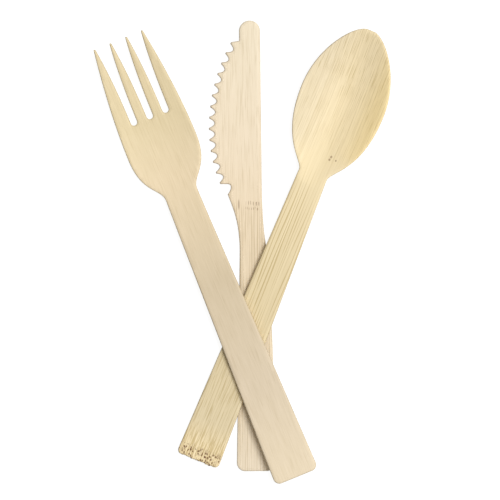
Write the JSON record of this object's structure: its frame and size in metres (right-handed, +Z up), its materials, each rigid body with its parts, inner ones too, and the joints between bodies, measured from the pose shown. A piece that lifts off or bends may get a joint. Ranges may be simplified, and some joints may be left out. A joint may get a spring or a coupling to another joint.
{
  "type": "bamboo cutlery set",
  "caption": "Disposable bamboo fork, spoon and serrated knife lying crossed in a fan, for eating one meal.",
  "frame": {"origin": "on the table under the middle of the set's outline", "axes": "+X to the right across the fan, +Y from the handles to the tips along the knife, +Z up from the table"},
  "size_m": [0.1064, 0.1656, 0.0087],
  "materials": {
    "fork_bamboo": "sanded bamboo, fine grain",
    "spoon_bamboo": "sanded bamboo, streaked grain",
    "knife_bamboo": "sanded bamboo, pale grain"
  },
  "bodies": {
    "root": {"fork": "fork_bamboo", "spoon": "spoon_bamboo", "knife": "knife_bamboo"}
  },
  "joints": []
}
